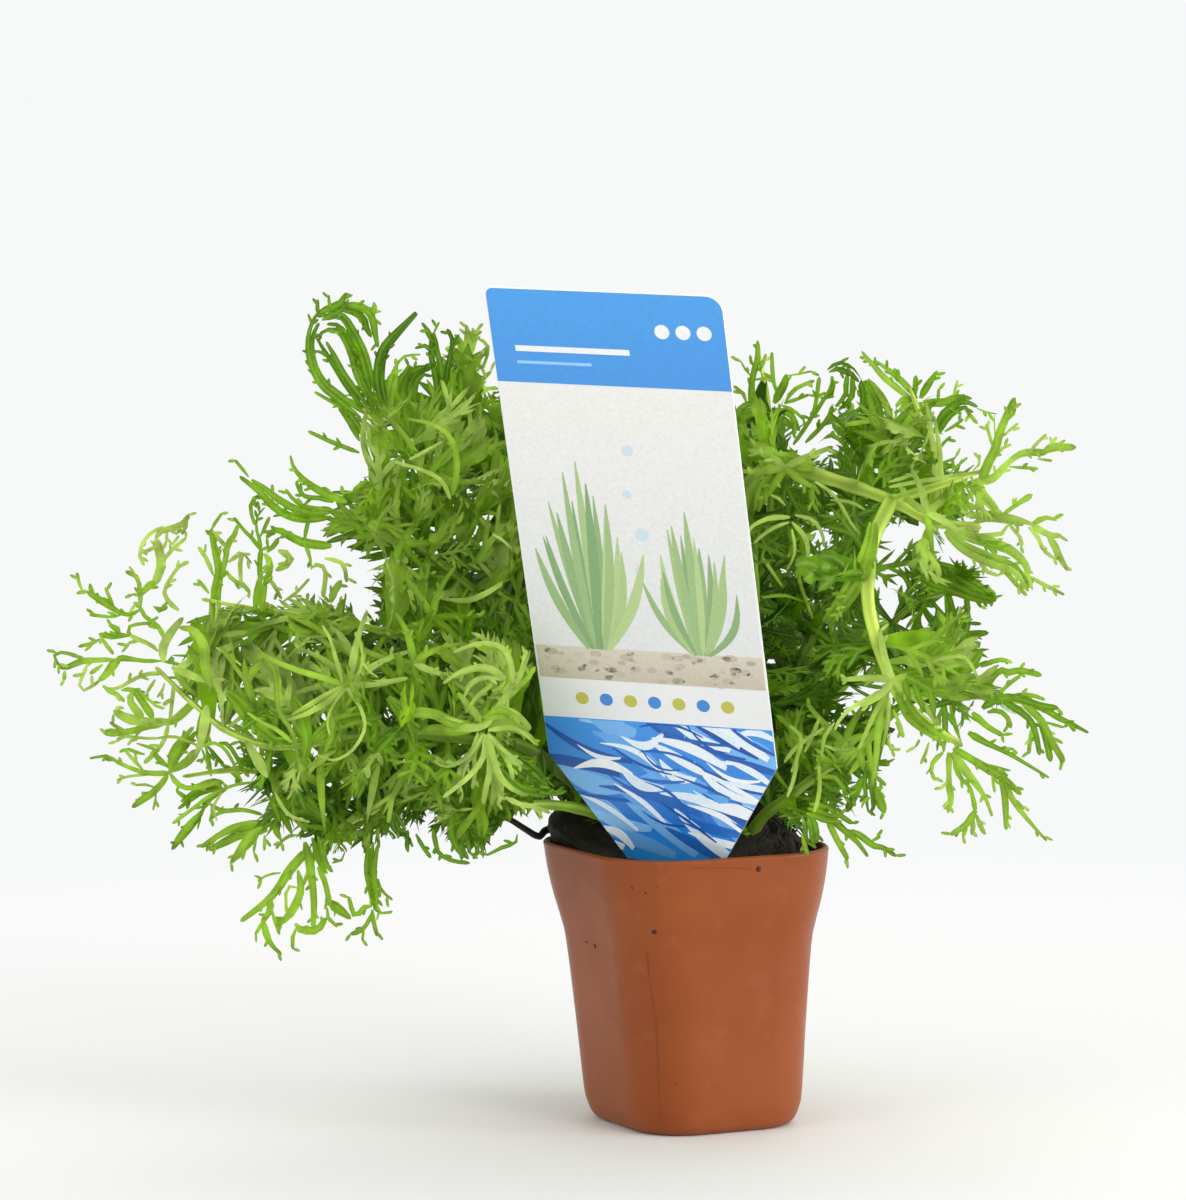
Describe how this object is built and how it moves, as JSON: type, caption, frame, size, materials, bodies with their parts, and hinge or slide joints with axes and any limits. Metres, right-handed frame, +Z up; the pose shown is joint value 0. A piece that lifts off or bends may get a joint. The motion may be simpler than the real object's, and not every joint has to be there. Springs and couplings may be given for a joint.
{
  "type": "potted ambulia plant",
  "caption": "Young ambulia, a feathery water plant grown out of water, sprawling from a small square terracotta plastic pot with a tall plastic plant label.",
  "frame": {"origin": "middle of the pot's underside, on the surface that the pot stands on", "axes": "+Z up; +Y away from the viewer, so that the label faces -Y; +X to the right as seen from the front"},
  "size_m": [0.2047, 0.1608, 0.169],
  "materials": {
    "pot": "matt moulded terracotta-coloured plastic, slightly dusty",
    "medium": "dark moist fibre",
    "label": "printed plastic sheet, satin",
    "stem": "smooth pale green stem",
    "leaf": "soft green leaf, satin"
  },
  "bodies": {
    "root": {"pot": "pot", "growing_medium": "medium", "label": "label", "stem_left_long": "stem", "stem_left_low": "stem", "stem_left_droop": "stem", "stem_left_front": "stem", "stem_left_star": "stem", "stem_left_mid": "stem", "stem_left_upper_low": "stem", "stem_left_upper": "stem", "stem_left_tall": "stem", "stem_left_back": "stem", "stem_right_thick": "stem", "stem_right_out": "stem", "stem_right_rise": "stem", "stem_right_vertical": "stem", "stem_right_top": "stem", "stem_right_down": "stem", "stem_right_side": "stem", "stem_right_low": "stem", "stem_right_mid": "stem", "stem_back_left": "stem", "stem_back_right": "stem", "stem_back_low": "stem", "leaves_left_long_1": "leaf", "leaves_left_long_2": "leaf", "leaves_left_long_3": "leaf", "leaves_left_low_1": "leaf", "leaves_left_low_2": "leaf", "leaves_left_low_3": "leaf", "leaves_left_droop_1": "leaf", "leaves_left_droop_2": "leaf", "leaves_left_front_1": "leaf", "leaves_left_star_1": "leaf", "leaves_left_mid_1": "leaf", "leaves_left_mid_2": "leaf", "leaves_left_mid_3": "leaf", "leaves_left_upper_low_1": "leaf", "leaves_left_upper_low_2": "leaf", "leaves_left_upper_1": "leaf", "leaves_left_upper_2": "leaf", "leaves_left_tall_1": "leaf", "leaves_left_tall_2": "leaf", "leaves_left_back_1": "leaf", "leaves_right_thick_1": "leaf", "leaves_right_thick_2": "leaf", "leaves_right_out_1": "leaf", "leaves_right_rise_1": "leaf", "leaves_right_vertical_1": "leaf", "leaves_right_top_1": "leaf", "leaves_right_top_2": "leaf", "leaves_right_down_1": "leaf", "leaves_right_side_1": "leaf", "leaves_right_low_1": "leaf", "leaves_right_mid_1": "leaf", "leaves_right_mid_2": "leaf", "leaves_back_left_1": "leaf", "leaves_back_right_1": "leaf", "leaves_back_low_1": "leaf"}
  },
  "joints": []
}
